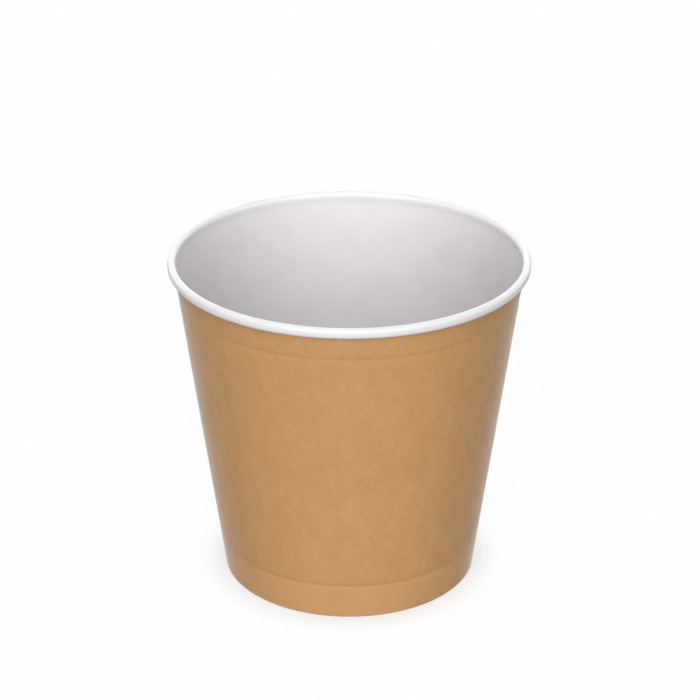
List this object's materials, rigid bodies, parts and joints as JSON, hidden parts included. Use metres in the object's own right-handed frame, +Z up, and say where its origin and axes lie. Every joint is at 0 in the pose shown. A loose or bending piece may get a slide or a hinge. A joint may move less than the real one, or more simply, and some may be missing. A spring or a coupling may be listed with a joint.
{
  "type": "food bucket",
  "caption": "Tapered round paper food bucket, kraft outside and white inside, with a rolled white rim, a lapped side seam and a raised bottom held in a folded hem.",
  "frame": {"origin": "on the bucket's axis, in the plane that the foot stands on", "axes": "+Z up along the axis, out of the open mouth; the pictured front faces -Y; the side seam is at the back left, 158 degrees round from +X"},
  "size_m": [0.216, 0.216, 0.203],
  "materials": {
    "kraft_board": "satin natural kraft outside, white coated inside and over the rolled rim",
    "white_board": "white board with a thin satin coating on its upper face"
  },
  "bodies": {
    "root": {"side_wall": "kraft_board", "bottom": "white_board"}
  },
  "joints": []
}
